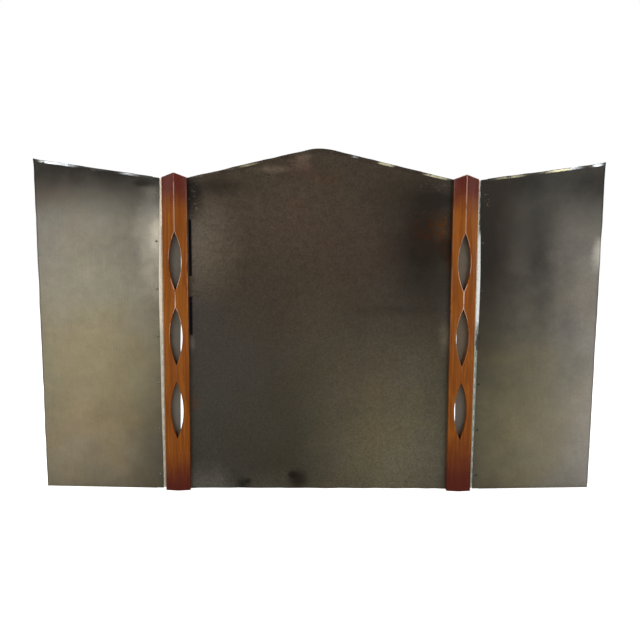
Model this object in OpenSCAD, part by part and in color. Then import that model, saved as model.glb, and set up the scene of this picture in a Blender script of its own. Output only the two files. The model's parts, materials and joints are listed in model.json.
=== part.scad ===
// Three-fold fireplace screen: steel sheets, scalloped wooden posts and full-length hinges.
// Axes: X across the screen, +Y to the back, +Z up. The floor is z = 0.

/* [Steel sheets] */
// Clear width of the centre sheet between the posts
centre_w = 599; // [520:1:680]
// Height of every panel where it meets a post
shoulder_h = 722; // [680:2:780]
// Slope of the centre sheet's top edges, in degrees
centre_slope = 13.2; // [8:0.2:16]
// Radius of the rounded peak of the centre sheet
peak_r = 150; // [80:5:220]
// Width of a wing sheet along its top, level with its outer corner
wing_w = 284; // [240:1:300]
// Width of a wing sheet along the floor
wing_foot_w = 277; // [230:1:300]
// Rise of a wing sheet's top edge from the hinge to its outer corner
wing_rise = 40; // [0:1:60]
// Thickness of the sheets
sheet_t = 1; // [0.8:0.1:1.4]
// Width of the hem folded back along the top and outer edges
hem_w = 8; // [6:1:12]
// Width of the hem folded back along the bottom edges
foot_hem_w = 18; // [12:1:24]
// How far each wing is folded back as stored, in degrees
wing_fold = 3; // [2:0.5:30]

/* [Wooden posts] */
// Width of one batten, which is half a post
batten_w = 28; // [27:0.5:34]
// Thickness of a post along its ridge
ridge_t = 20; // [18:0.5:26]
// Thickness of a batten along its side
side_t = 15; // [14.5:0.5:18]
// Rise of the gable that tops each post
gable_rise = 10.5; // [4:0.5:16]

/* [Lens openings] */
// Number of openings in a post
lens_n = 3; // [2:1:3]
// Length of an opening
lens_l = 134; // [110:1:145]
// Width of an opening
lens_w = 29; // [20:1:30]
// Wood left between two openings
lens_gap = 38; // [30:1:45]
// Wood left below the lowest opening
lens_foot = 124; // [80:1:130]
// Width of the backing strip at its top, from the post's outer side
strip_top_w = 42; // [36:0.5:42]
// Width of the left backing strip at the floor
left_strip_foot_w = 29; // [26:0.5:42]
// Width of the right backing strip at the floor
right_strip_foot_w = 37.5; // [26:0.5:42]

/* [Hinges] */
// Outer radius of the hinge barrel
barrel_r = 3.2; // [3:0.1:3.6]
// Radius of the hinge pin
pin_r = 1.5; // [1.2:0.1:1.6]
// Radial clearance of the pin in the moving leaf's knuckles
pin_clearance = 0.06; // [0.02:0.01:0.1]
// Thickness of a hinge leaf
leaf_t = 0.9; // [0.7:0.1:1.2]
// Reach of a hinge leaf from the pin's axis
leaf_w = 17; // [15.5:0.5:17]
// Number of knuckles in a hinge
knuckle_n = 57; // [29:2:57]

/* [Fasteners] */
// Number of fasteners along each row
fix_n = 7; // [4:1:8]
// Distance of a row's first and last fastener from the floor and the shoulder
fix_end = 34; // [28:1:45]
// Radius of a wood screw's core
screw_r = 1.5; // [1.2:0.1:1.7]
// Depth of a wood screw in the batten
screw_depth = 11; // [8:0.5:12]
// Radius of the dowels between two battens
dowel_r = 3; // [2:0.5:4]
// Length of a dowel
dowel_l = 24; // [16:1:28]

/* [Hidden] */
$fn = 32;

steel = "#6d675b";
wood = "#8f4d22";
nickel = "#c3beb0";

eps = 0.5;               // how far a cutter runs past the face it leaves
sheet_lap = 12;          // how far the centre sheet reaches behind an inner batten
fix_x = 21.5;            // a batten's screws, from the post's ridge
side_gap = 3.7;          // from a post's side to the pin's axis
wing_gap = 5.3;          // from the pin's axis to a wing sheet's edge
barrel_set = barrel_r - 0.2; // from the pin's axis to the leaves' front faces
plate_start = barrel_r + 0.4; // where a leaf's plate begins, clear of the other leaf's knuckles
knuckle_gap = 0.3;       // play between two knuckles
hinge_end = 2;           // from the hinge's ends to the floor and the shoulder
strip_end = 2;           // from a backing strip's top to the shoulder
rivet_x = 12;            // a wing's rivets, from the pin's axis
rivet_r = 1.6;
screw_hole_r = screw_r + 0.25; // clearance hole in sheet metal

post_x = centre_w / 2 + batten_w;
side_x = post_x + batten_w;
axis_x = side_x + side_gap;
axis_y = sheet_t + barrel_set;
hinge_h = shoulder_h - 2 * hinge_end;
knuckle_l = hinge_h / knuckle_n;

// The screen stands with the middle of its whole depth over the origin
front_y = -ridge_t;
reach = wing_gap + max(wing_w, wing_foot_w);
back_y = axis_y + reach * sin(wing_fold) + (2 * sheet_t - axis_y) * cos(wing_fold);
mid_y = (front_y + back_y) / 2;

lens_r = (pow(lens_l / 2, 2) + pow(lens_w / 2, 2)) / lens_w;
lens_pitch = lens_l + lens_gap;
lens_top = lens_foot + lens_n * lens_pitch - lens_gap;
lens_z = [for (i = [0 : lens_n - 1]) lens_foot + lens_l / 2 + i * lens_pitch];
dowel_z = concat(
    [lens_foot / 2],
    [for (i = [1 : lens_n - 1]) lens_foot - lens_gap / 2 + i * lens_pitch],
    [(shoulder_h + lens_top) / 2]
);
fix_z = [for (i = [0 : fix_n - 1]) fix_end + i * (shoulder_h - 2 * fix_end) / (fix_n - 1)];

// Turns a part drawn for the right side into its left twin
module left() {
    mirror([1, 0, 0]) children();
}

// Moves a part of the standing frame to its place over the origin
module framed() {
    translate([0, -mid_y, 0]) children();
}

// Moves a part drawn from a right wing's pin axis to its folded place
module folded() {
    framed() translate([axis_x, axis_y, 0]) rotate([0, 0, wing_fold]) children();
}

// Stands a flat shape up, as a plate that runs from y to y + t
module plate(y, t) {
    translate([0, y + t, 0]) rotate([90, 0, 0]) linear_extrude(t) children();
}

// Holes along Y through everything between two depths
module holes(x, r, y0, y1) {
    for (z = fix_z) translate([x, y0, z]) rotate([-90, 0, 0]) cylinder(r = r, h = y1 - y0);
}

// Low domed head, standing on z = 0
module dome(r, h) {
    rotate_extrude() polygon(concat([[0, 0]], [for (a = [0 : 15 : 90]) [r * cos(a), h * sin(a)]]));
}

// Gabled outline with a rounded peak
module centre_outline() {
    half = centre_w / 2 + sheet_lap;
    arc_z = shoulder_h + centre_w / 2 * tan(centre_slope) - peak_r / cos(centre_slope);
    steps = 12;
    polygon(concat(
        [[-half, 0], [half, 0], [half, shoulder_h - sheet_lap * tan(centre_slope)]],
        [for (i = [0 : steps]) let (a = 90 - centre_slope + 2 * centre_slope * i / steps)
            [peak_r * cos(a), arc_z + peak_r * sin(a)]],
        [[-half, shoulder_h - sheet_lap * tan(centre_slope)]]
    ));
}

module centre_sheet() {
    color(steel) framed() difference() {
        union() {
            plate(0, sheet_t) centre_outline();
            // Hems folded back along the top and the bottom
            plate(0, 2 * sheet_t) difference() {
                centre_outline();
                intersection() {
                    translate([0, -hem_w]) centre_outline();
                    translate([0, foot_hem_w]) centre_outline();
                }
            }
        }
        for (x = [-1, 1] * (post_x - fix_x)) holes(x, screw_hole_r, -eps, sheet_t + eps);
    }
}

// Wing outline from its hinge edge, rising outwards
module wing_outline() {
    polygon([[0, 0], [wing_foot_w, 0], [wing_w, shoulder_h + wing_rise], [0, shoulder_h]]);
}

module wing_sheet() {
    color(steel) folded() difference() {
        translate([wing_gap, 0, 0]) {
            plate(-axis_y, sheet_t) wing_outline();
            // Hems folded back along the top, the outer edge and the bottom, clear of the hinge leaf
            plate(-axis_y, 2 * sheet_t) difference() {
                wing_outline();
                intersection() {
                    translate([0, -hem_w]) wing_outline();
                    translate([-hem_w, 0]) wing_outline();
                    translate([0, foot_hem_w]) wing_outline();
                }
                translate([-eps, -eps]) square([leaf_w - wing_gap + 2 * eps, shoulder_h * 2]);
            }
        }
        holes(rivet_x, rivet_r, -axis_y - eps, -barrel_set + eps);
    }
}

// One half of a post: its ridge is at x = 0 and its side at x = batten_w
module batten() {
    color(wood) difference() {
        linear_extrude(shoulder_h + gable_rise)
            polygon([[0, 0], [batten_w, 0], [batten_w, -side_t], [0, -ridge_t]]);
        // Half of the gable
        translate([0, 0, shoulder_h + gable_rise]) rotate([0, atan(gable_rise / batten_w), 0])
            translate([-batten_w, -ridge_t - eps, 0])
                cube([3 * batten_w, ridge_t + 2 * eps, 2 * gable_rise]);
        // Scallops that make the openings
        for (z = lens_z) translate([lens_w / 2 - lens_r, eps, z]) rotate([90, 0, 0])
            cylinder(r = lens_r, h = ridge_t + 2 * eps, $fn = 96);
        holes(fix_x, screw_r, -screw_depth - eps, eps);
        for (z = dowel_z) translate([-eps, -side_t / 2, z]) rotate([0, 90, 0])
            cylinder(r = dowel_r, h = dowel_l / 2 + eps);
    }
}

module outer_batten() {
    framed() translate([post_x, 0, 0]) batten();
}

module inner_batten() {
    framed() translate([post_x, 0, 0]) left() batten();
}

module post_dowels() {
    color("#c79a63") framed() for (z = dowel_z)
        translate([post_x - dowel_l / 2, -side_t / 2, z]) rotate([0, 90, 0])
            cylinder(r = dowel_r, h = dowel_l);
}

// Steel strip behind an outer batten that closes the outer part of the lens openings
module backing_strip(foot_w) {
    color(steel) framed() difference() {
        plate(0, sheet_t) polygon([
            [side_x - foot_w, 0], [side_x, 0],
            [side_x, shoulder_h - strip_end], [side_x - strip_top_w, shoulder_h - strip_end]
        ]);
        holes(post_x + fix_x, screw_hole_r, -eps, sheet_t + eps);
    }
}

// Hinge leaf from the pin's axis along +X, with every second knuckle from number first
module leaf(first, bore_r, hole_x, hole_r) {
    color(nickel) difference() {
        union() {
            translate([plate_start, -barrel_set, hinge_end])
                cube([leaf_w - plate_start, leaf_t, hinge_h]);
            for (i = [first : 2 : knuckle_n - 1])
                translate([0, 0, hinge_end + i * knuckle_l + knuckle_gap / 2]) {
                    cylinder(r = barrel_r, h = knuckle_l - knuckle_gap);
                    translate([0, -barrel_set, 0])
                        cube([plate_start + eps, leaf_t, knuckle_l - knuckle_gap]);
                }
        }
        translate([0, 0, hinge_end - eps]) cylinder(r = bore_r, h = hinge_h + 2 * eps);
        holes(hole_x, hole_r, -barrel_set - eps, -barrel_set + leaf_t + eps);
    }
}

module hinge_post_leaf() {
    framed() translate([axis_x, axis_y, 0]) left()
        leaf(0, pin_r, batten_w + side_gap - fix_x, screw_hole_r);
}

module hinge_wing_leaf() {
    folded() leaf(1, pin_r + pin_clearance, rivet_x, rivet_r);
}

module hinge_pin() {
    color(nickel) framed() translate([axis_x, axis_y, hinge_end]) cylinder(r = pin_r, h = hinge_h);
}

// Slotted round-head wood screw: its head stands on z = 0 and its shank goes down
module screw(shank_l) {
    head_r = 3.4;
    head_h = 1.4;
    slot_w = 0.8;
    tip_l = 3;
    color(nickel) {
        difference() {
            dome(head_r, head_h);
            translate([-head_r - eps, -slot_w / 2, head_h / 2]) cube([2 * (head_r + eps), slot_w, head_h]);
        }
        translate([0, 0, -shank_l]) {
            translate([0, 0, tip_l]) cylinder(r = screw_r, h = shank_l - tip_l);
            cylinder(r1 = screw_r / 4, r2 = screw_r, h = tip_l);
        }
    }
}

// Row of screws driven from behind, through sheet metal of thickness grip into a batten
module screws(x, grip) {
    framed() for (z = fix_z) translate([x, grip, z]) rotate([-90, 0, 0]) screw(grip + screw_depth);
}

module leaf_screws() {
    screws(post_x + fix_x, sheet_t + leaf_t);
}

module sheet_screws() {
    screws(post_x - fix_x, sheet_t);
}

// Rivets through a wing sheet and its hinge leaf, with low heads in front and clenched tails behind
module wing_rivets() {
    grip = sheet_t + leaf_t;
    color(nickel) folded() for (z = fix_z)
        translate([rivet_x, -axis_y, z]) rotate([-90, 0, 0]) {
            cylinder(r = rivet_r, h = grip);
            rotate([180, 0, 0]) dome(2.8, 0.9);
            translate([0, 0, grip]) dome(2.4, 0.8);
        }
}

centre_sheet();
left() wing_sheet();  // left_wing_sheet
wing_sheet();  // right_wing_sheet
left() outer_batten();  // left_outer_batten
left() inner_batten();  // left_inner_batten
outer_batten();  // right_outer_batten
inner_batten();  // right_inner_batten
left() post_dowels();  // left_post_dowels
post_dowels();  // right_post_dowels
left() backing_strip(left_strip_foot_w);  // left_backing_strip
backing_strip(right_strip_foot_w);  // right_backing_strip
left() hinge_post_leaf();  // left_hinge_post_leaf
left() hinge_wing_leaf();  // left_hinge_wing_leaf
left() hinge_pin();  // left_hinge_pin
hinge_post_leaf();  // right_hinge_post_leaf
hinge_wing_leaf();  // right_hinge_wing_leaf
hinge_pin();  // right_hinge_pin
left() leaf_screws();  // left_leaf_screws
leaf_screws();  // right_leaf_screws
left() sheet_screws();  // left_sheet_screws
sheet_screws();  // right_sheet_screws
left() wing_rivets();  // left_wing_rivets
wing_rivets();  // right_wing_rivets
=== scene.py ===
import json
import math

import bmesh
import bpy
from mathutils import Matrix, Vector

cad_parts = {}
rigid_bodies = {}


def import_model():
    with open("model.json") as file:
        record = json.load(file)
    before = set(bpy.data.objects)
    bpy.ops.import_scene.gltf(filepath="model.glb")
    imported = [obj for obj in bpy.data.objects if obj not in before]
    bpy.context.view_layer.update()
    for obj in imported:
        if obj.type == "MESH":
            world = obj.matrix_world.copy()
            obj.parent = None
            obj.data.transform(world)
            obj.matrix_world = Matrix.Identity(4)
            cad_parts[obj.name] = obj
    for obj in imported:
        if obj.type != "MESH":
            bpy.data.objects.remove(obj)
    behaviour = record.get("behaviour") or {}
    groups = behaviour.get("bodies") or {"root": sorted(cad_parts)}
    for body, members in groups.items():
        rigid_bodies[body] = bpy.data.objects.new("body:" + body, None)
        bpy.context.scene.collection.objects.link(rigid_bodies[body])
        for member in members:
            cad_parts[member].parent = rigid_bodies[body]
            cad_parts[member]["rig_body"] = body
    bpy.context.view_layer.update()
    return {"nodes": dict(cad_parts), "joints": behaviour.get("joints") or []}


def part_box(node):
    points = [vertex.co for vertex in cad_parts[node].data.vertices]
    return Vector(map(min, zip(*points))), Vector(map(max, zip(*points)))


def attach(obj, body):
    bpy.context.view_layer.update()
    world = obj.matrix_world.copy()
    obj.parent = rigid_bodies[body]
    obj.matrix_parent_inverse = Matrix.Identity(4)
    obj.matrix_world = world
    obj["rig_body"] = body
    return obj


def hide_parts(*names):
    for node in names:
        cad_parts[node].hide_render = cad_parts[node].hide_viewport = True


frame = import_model()

mm = 0.001
sides = {"left": -1, "right": 1}
axes = {joint["child"]: Vector(joint["pos_m"]) for joint in frame["joints"]}


# hand tools

def clearBench():
    for extra in list(bpy.data.objects):
        if "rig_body" not in extra and not extra.name.startswith("body:"):
            bpy.data.objects.remove(extra)


def takeUp(piece):
    bpy.ops.object.select_all(action="DESELECT")
    piece.select_set(True)
    bpy.context.view_layer.objects.active = piece


def call(piece, name):
    piece.name = name
    piece.data.name = name


def nameNew(name):    # the primitive just added becomes a named piece at the origin
    piece = bpy.context.active_object
    takeUp(piece)
    call(piece, name)
    bpy.ops.object.transform_apply(location=True, rotation=True, scale=True)
    return piece


def openUp(piece):
    takeUp(piece)
    bpy.ops.object.mode_set(mode="EDIT")
    bpy.ops.mesh.select_all(action="SELECT")


def closeUp():
    bpy.ops.object.mode_set(mode="OBJECT")


def pick(piece, kind, test):    # selects only what passes the test
    bpy.ops.mesh.select_mode(type=kind)
    bpy.ops.mesh.select_all(action="DESELECT")
    shape = bmesh.from_edit_mesh(piece.data)
    for item in {"VERT": shape.verts, "EDGE": shape.edges, "FACE": shape.faces}[kind]:
        if test(item):
            item.select_set(True)
    shape.select_flush_mode()
    bmesh.update_edit_mesh(piece.data)


def trim(point, outward, fill=False, keep=False):    # saws everything off beyond a plane, or only scores it
    bpy.ops.mesh.select_all(action="SELECT")
    bpy.ops.mesh.bisect(plane_co=point, plane_no=outward, clear_outer=not keep, use_fill=fill)


def finishWith(piece, kind, **settings):    # a modifier that is applied at once
    takeUp(piece)
    tool = piece.modifiers.new(kind.title(), kind)
    for setting, value in settings.items():
        setattr(tool, setting, value)
    bpy.ops.object.modifier_apply(modifier=tool.name)


def softenEdges(piece, width, segments, degrees, **settings):    # rounds what is sharper than an angle
    finishWith(piece, "BEVEL", width=width, segments=segments, limit_method="ANGLE",
               angle_limit=math.radians(degrees), **settings)


def cutAway(piece, cutter):
    finishWith(piece, "BOOLEAN", operation="DIFFERENCE", solver="EXACT", object=cutter)
    bpy.data.objects.remove(cutter)


def sawBlock(name, corner, opposite):
    corner, opposite = Vector(corner), Vector(opposite)
    size = [abs(length) for length in opposite - corner]
    bpy.ops.mesh.primitive_cube_add(size=1, location=(corner + opposite) / 2, scale=size)
    return nameNew(name)


def smoothOver(piece, degrees):
    takeUp(piece)
    bpy.ops.object.shade_smooth_by_angle(angle=math.radians(degrees))


def moveBy(piece, matrix):    # turns or moves the mesh, and leaves the object at the origin
    takeUp(piece)
    piece.matrix_world = matrix
    bpy.ops.object.transform_apply(location=True, rotation=True, scale=True)


def copyOf(piece, name, matrix):
    twin = piece.copy()
    twin.data = piece.data.copy()
    call(twin, name)
    bpy.context.scene.collection.objects.link(twin)
    moveBy(twin, matrix)
    return twin


def joinAll(name, parts):
    takeUp(parts[0])
    for part in parts:
        part.select_set(True)
    bpy.ops.object.join()
    call(parts[0], name)
    return parts[0]


def weigh(piece, name, weightAt):    # a vertex group, with a weight for each place
    group = piece.vertex_groups.new(name=name)
    for vertex in piece.data.vertices:
        group.add([vertex.index], weightAt(vertex.co), "REPLACE")


def measure(piece, name, valueAt):    # an attribute that a material reads
    attribute = piece.data.attributes.new(name, "FLOAT", "POINT")
    for vertex in piece.data.vertices:
        attribute.data[vertex.index].value = valueAt(vertex.co)


def ease(value, low, high):    # 0 below low, 1 above high, smooth between
    share = min(1, max(0, (value - low) / (high - low)))
    return share * share * (3 - 2 * share)


def dress(piece, *finishes):
    piece.data.materials.clear()
    for finish in finishes:
        piece.data.materials.append(finish)


def place(piece, body, node):    # hangs a finished piece on the frame
    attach(piece, body)
    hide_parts(node)


# node tools

wired = {"tree": None}    # the node tree that the tools below are wiring


def feed(socket, value):
    if isinstance(value, bpy.types.NodeSocket):
        wired["tree"].links.new(value, socket)
    else:
        socket.default_value = value


def addNode(kind, *values, labels={}, **settings):    # sockets are fed in order, or by their labels
    node = wired["tree"].nodes.new("ShaderNode" + kind)
    for setting, value in settings.items():
        setattr(node, setting, value)
    for socket, value in zip(node.inputs, values):
        feed(socket, value)
    for label, value in labels.items():
        feed(node.inputs[label], value)
    return node.outputs


def calc(operation, *values, clamp=False):
    return addNode("Math", *values, operation=operation, use_clamp=clamp)[0]


def times(*values, clamp=False):
    return calc("MULTIPLY", *values, clamp=clamp)


def minus(*values):
    return calc("SUBTRACT", *values)


def scaleAdd(value, factor, rest, clamp=False):    # value by factor, plus the rest
    return calc("MULTIPLY_ADD", value, factor, rest, clamp=clamp)


def centred(pattern):    # a pattern from 0 to 1 swings about 0 instead
    return minus(pattern, 0.5)


def away(value, middle):    # the distance from the middle, to either side
    return calc("ABSOLUTE", minus(value, middle))


def blendColour(amount, under, over, mode="MIX"):
    node = wired["tree"].nodes.new("ShaderNodeMix")
    node.data_type = "RGBA"
    node.blend_type = mode
    feed(node.inputs[0], amount)
    for index, colour in ((6, under), (7, over)):    # its two colour sockets
        feed(node.inputs[index], colour if isinstance(colour, bpy.types.NodeSocket) else (*colour, 1))
    return node.outputs[2]


def stain(colour, mask, amount, tone):
    return blendColour(times(mask, amount), colour, tone)


def fade(value, low, high, fromValue=0.0, toValue=1.0):
    return addNode("MapRange", value, low, high, fromValue, toValue,
                   interpolation_type="SMOOTHSTEP")["Result"]


def stretch(vector, scale, shift=(0, 0, 0), turn=(0, 0, 0)):
    return addNode("Mapping", vector, shift, turn, scale)["Vector"]


def cloud(vector, scale, detail=3.0, roughness=0.5, distortion=0.0):
    return addNode("TexNoise", labels={"Vector": vector, "Scale": scale, "Detail": detail,
                                       "Roughness": roughness, "Distortion": distortion})["Fac"]


def startGroup(name, takes, gives):    # an input with no value of its own is a vector
    group = bpy.data.node_groups.new(name, "ShaderNodeTree")
    for label, value in takes.items():
        kind = "NodeSocketFloat" if isinstance(value, float) else "NodeSocketVector"
        socket = group.interface.new_socket(name=label, in_out="INPUT", socket_type=kind)
        if value is not None:
            socket.default_value = value
    for label in gives:
        group.interface.new_socket(name=label, in_out="OUTPUT", socket_type="NodeSocketFloat")
    wired["tree"] = group
    inlet = group.nodes.new("NodeGroupInput").outputs
    outlet = group.nodes.new("NodeGroupOutput").inputs
    return group, inlet, outlet


def useGroup(group, **values):
    return addNode("Group", labels=values, node_tree=group)


def makeSoftPatch():    # an oval mark with a soft, uneven border
    group, inlet, outlet = startGroup("softPatch", {
        "Vector": None, "Centre": (0, 0, 0), "Spread": (10, 10, 10), "Raggedness": 0.25}, ["Mask"])
    offset = addNode("VectorMath", inlet["Vector"], inlet["Centre"], operation="SUBTRACT")[0]
    scaled = addNode("VectorMath", offset, inlet["Spread"], operation="MULTIPLY")[0]
    length = addNode("VectorMath", scaled, operation="LENGTH")["Value"]
    uneven = centred(cloud(inlet["Vector"], 14.0, 4.0, 0.6))
    distance = scaleAdd(times(uneven, inlet["Raggedness"]), 3.0, length)
    feed(outlet["Mask"], fade(distance, 1.0, 0.0))
    return group


def makePatina():    # blotches of an old heated and oiled metal surface
    group, inlet, outlet = startGroup("patina", {"Vector": None, "Coarse": 5.0, "Fine": 40.0},
                                      ["Blotch", "Mottle", "Warmth"])
    blotch = cloud(inlet["Vector"], inlet["Coarse"], 4.0, 0.55, 0.3)
    shifted = stretch(inlet["Vector"], (1, 1, 1), (3.7, 1.9, 5.3))
    warmth = cloud(shifted, inlet["Coarse"], 3.0, 0.6, 0.6)
    mottle = cloud(inlet["Vector"], inlet["Fine"], 6.0, 0.65)
    feed(outlet["Blotch"], fade(blotch, 0.3, 0.7))
    feed(outlet["Warmth"], fade(warmth, 0.35, 0.68))
    feed(outlet["Mottle"], fade(mottle, 0.25, 0.75))
    return group


def makeBrushing():    # fine rolling and polishing lines, and short scratches
    group, inlet, outlet = startGroup("brushing", {"Vector": None, "Along": 14.0, "Across": 700.0},
                                      ["Lines", "Scratches"])
    scale = addNode("CombineXYZ", inlet["Across"], inlet["Across"], inlet["Along"])[0]
    lines = cloud(stretch(inlet["Vector"], scale), 1.0, 3.0, 0.7)
    slanted = stretch(inlet["Vector"], (500, 500, 9), turn=(0, math.radians(63), 0))
    scratch = cloud(slanted, 1.0, 2.0, 0.5, 0.4)
    feed(outlet["Lines"], lines)
    feed(outlet["Scratches"], fade(scratch, 0.66, 0.72))
    return group


def makeBrokenRimBand():    # a broken band beside an edge, used for the painted highlight and the painted shade along a hem
    group, inlet, outlet = startGroup("brokenRimBand", {
        "Vector": None, "Gap": 1.0, "Near": 0.0, "Far": 0.003, "Breakup": 90.0, "Cover": 0.5}, ["Mask"])
    wander = centred(cloud(inlet["Vector"], 160.0, 3.0))
    gap = scaleAdd(wander, 2 * mm, inlet["Gap"])
    soft = 0.6 * mm
    start = fade(gap, minus(inlet["Near"], soft), inlet["Near"])
    end = fade(gap, calc("ADD", inlet["Far"], soft), inlet["Far"])
    broken = cloud(inlet["Vector"], inlet["Breakup"], 3.0, 0.6)
    limit, edge = minus(1.0, inlet["Cover"]), 0.06
    held = fade(broken, minus(limit, edge), calc("ADD", limit, edge))
    feed(outlet["Mask"], times(times(start, end), held))
    return group


def makeSpecks():    # settled soot, dust and small pits
    group, inlet, outlet = startGroup("specks", {"Vector": None, "Scale": 120.0, "Cover": 0.2}, ["Mask"])
    cells = addNode("TexVoronoi", labels={"Vector": inlet["Vector"], "Scale": inlet["Scale"]})
    dots = fade(cells["Distance"], 0.22, 0.1)
    where = cloud(inlet["Vector"], 9.0, 4.0, 0.6)
    limit = minus(0.75, times(inlet["Cover"], 0.5))
    held = fade(where, limit, calc("ADD", limit, 0.15))
    feed(outlet["Mask"], times(dots, held))
    return group


def makeWoodGrain():
    group, inlet, outlet = startGroup("woodGrain", {"Vector": None, "Figure": 26.0, "Pores": 420.0},
                                      ["Figure", "Fibre", "Pores"])

    def alongGrain(scale, share):    # a pattern drawn out along the grain
        scales = addNode("CombineXYZ", scale, scale, times(scale, share))[0]
        return stretch(inlet["Vector"], scales)

    figure = cloud(alongGrain(inlet["Figure"], 0.07), 1.0, 3.0, 0.5, 1.2)
    rings = calc("SINE", times(figure, 42.0))
    fibre = cloud(stretch(inlet["Vector"], (380, 380, 9)), 1.0, 5.0, 0.65)
    pores = cloud(alongGrain(inlet["Pores"], 0.05), 1.6, 2.0, 0.4)
    feed(outlet["Figure"], scaleAdd(rings, 0.5, 0.5))
    feed(outlet["Fibre"], fade(fibre, 0.3, 0.7))
    feed(outlet["Pores"], fade(pores, 0.62, 0.7))
    return group


clearBench()
softPatch = makeSoftPatch()
patina = makePatina()
brushing = makeBrushing()
brokenRimBand = makeBrokenRimBand()
specks = makeSpecks()
woodGrain = makeWoodGrain()
print("shared finishes are ready")


def startMaterial(name):
    finish = bpy.data.materials.new(name)
    finish.use_nodes = True
    finish.node_tree.nodes.clear()
    wired["tree"] = finish.node_tree
    shader = finish.node_tree.nodes.new("ShaderNodeBsdfPrincipled")
    addNode("OutputMaterial", shader.outputs[0])
    return finish, shader, addNode("TexCoord")["Object"]


def endMaterial(shader, colour, rough, metallic, height, strength, depth):
    feed(shader.inputs["Base Color"], colour)
    feed(shader.inputs["Roughness"], rough)
    shader.inputs["Metallic"].default_value = metallic
    bump = addNode("Bump", labels={"Height": height, "Strength": strength, "Distance": depth})
    feed(shader.inputs["Normal"], bump[0])


def addPatches(coords, patches):    # the sum of soft marks: x, z, half width, half height, amount
    total = calc("ADD", 0.0, 0.0)
    small = 0.08
    for x, z, wide, high, amount in patches:    # small marks have ragged borders
        ragged = 0.1 if min(wide, high) > small else 0.35
        mask = useGroup(softPatch, Vector=coords, Centre=(x, 0, z),
                        Spread=(1 / wide, 1, 1 / high), Raggedness=ragged)["Mask"]
        total = scaleAdd(mask, amount, total)
    return total


# steel sheets

steelLook = {
    "dark": (0.016, 0.014, 0.011),
    "light": (0.616, 0.575, 0.49),
    "olive": (1.0, 0.95, 0.66),
    "brown": (1.0, 0.80, 0.62),
    "rust": (1.65, 0.86, 0.32),
    "plum": (1.12, 0.92, 1.0),
    # painted highlight colour along the hem
    "hemHighlight": (0.50, 0.54, 0.57),
    "cream": (0.52, 0.48, 0.30),
    # this near-black is real soot in the specks, and painted shade along the edges, under the hem and in the
    # crease
    "sootAndShade": (0.010, 0.009, 0.009),
    "pitch": (0.001, 0.001, 0.003),
    "scuff": (0.23, 0.17, 0.12),
    "metallic": 0.8,
    "roughness": 0.36,
    "least": 0.02,      # every shade stays at least this uneven
    "blotch": 0.08,     # how strongly each pattern shows
    "mottle": 0.12,
    "lines": 0.22,
    "warmth": 0.25,
    "greening": -0.3,
    "scuffing": 0.75,
    "sooty": 0.35,
    "outline": 0.45,
    "underRimShade": 0.25,
}

# marks on a sheet: x, z, half width, half height, amount (the painted post reflections have no amount)
leftWingTones = {
    "base": 0.12,
    "grit": 0.25,
    "patches": [
        (-0.545, 0.34, 0.34, 0.60, 0.355),    # broad bright field
        (-0.62, 0.06, 0.20, 0.22, 0.10), (-0.54, 0.73, 0.40, 0.13, -0.22), (-0.47, 0.09, 0.06, 0.14, 0.03),
        (-0.375, 0.57, 0.06, 0.17, 0.26),
        (-0.364, 0.595, 0.028, 0.07, 0.32),    # painted reflection: a glow beside the hinge
        (-0.37, 0.12, 0.10, 0.3, -0.05),
        (-0.392, 0.708, 0.04, 0.012, -0.06),    # darker mark just under the hem
        (-0.41, 0.625, 0.07, 0.11, -0.01),
    ],
    "brown": [(-0.55, 0.10, 0.4, 0.5, 0.45), (-0.62, 0.68, 0.1, 0.06, 0.25)],
    "olive": [(-0.5, 0.20, 0.5, 0.6, 0.85)],
    # shine and cream: where the painted highlight along the hem shows
    "shine": [(-0.592, 0.755, 0.05, 0.03, 1.3), (-0.43, 0.732, 0.03, 0.02, 0.5)],
}
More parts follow.
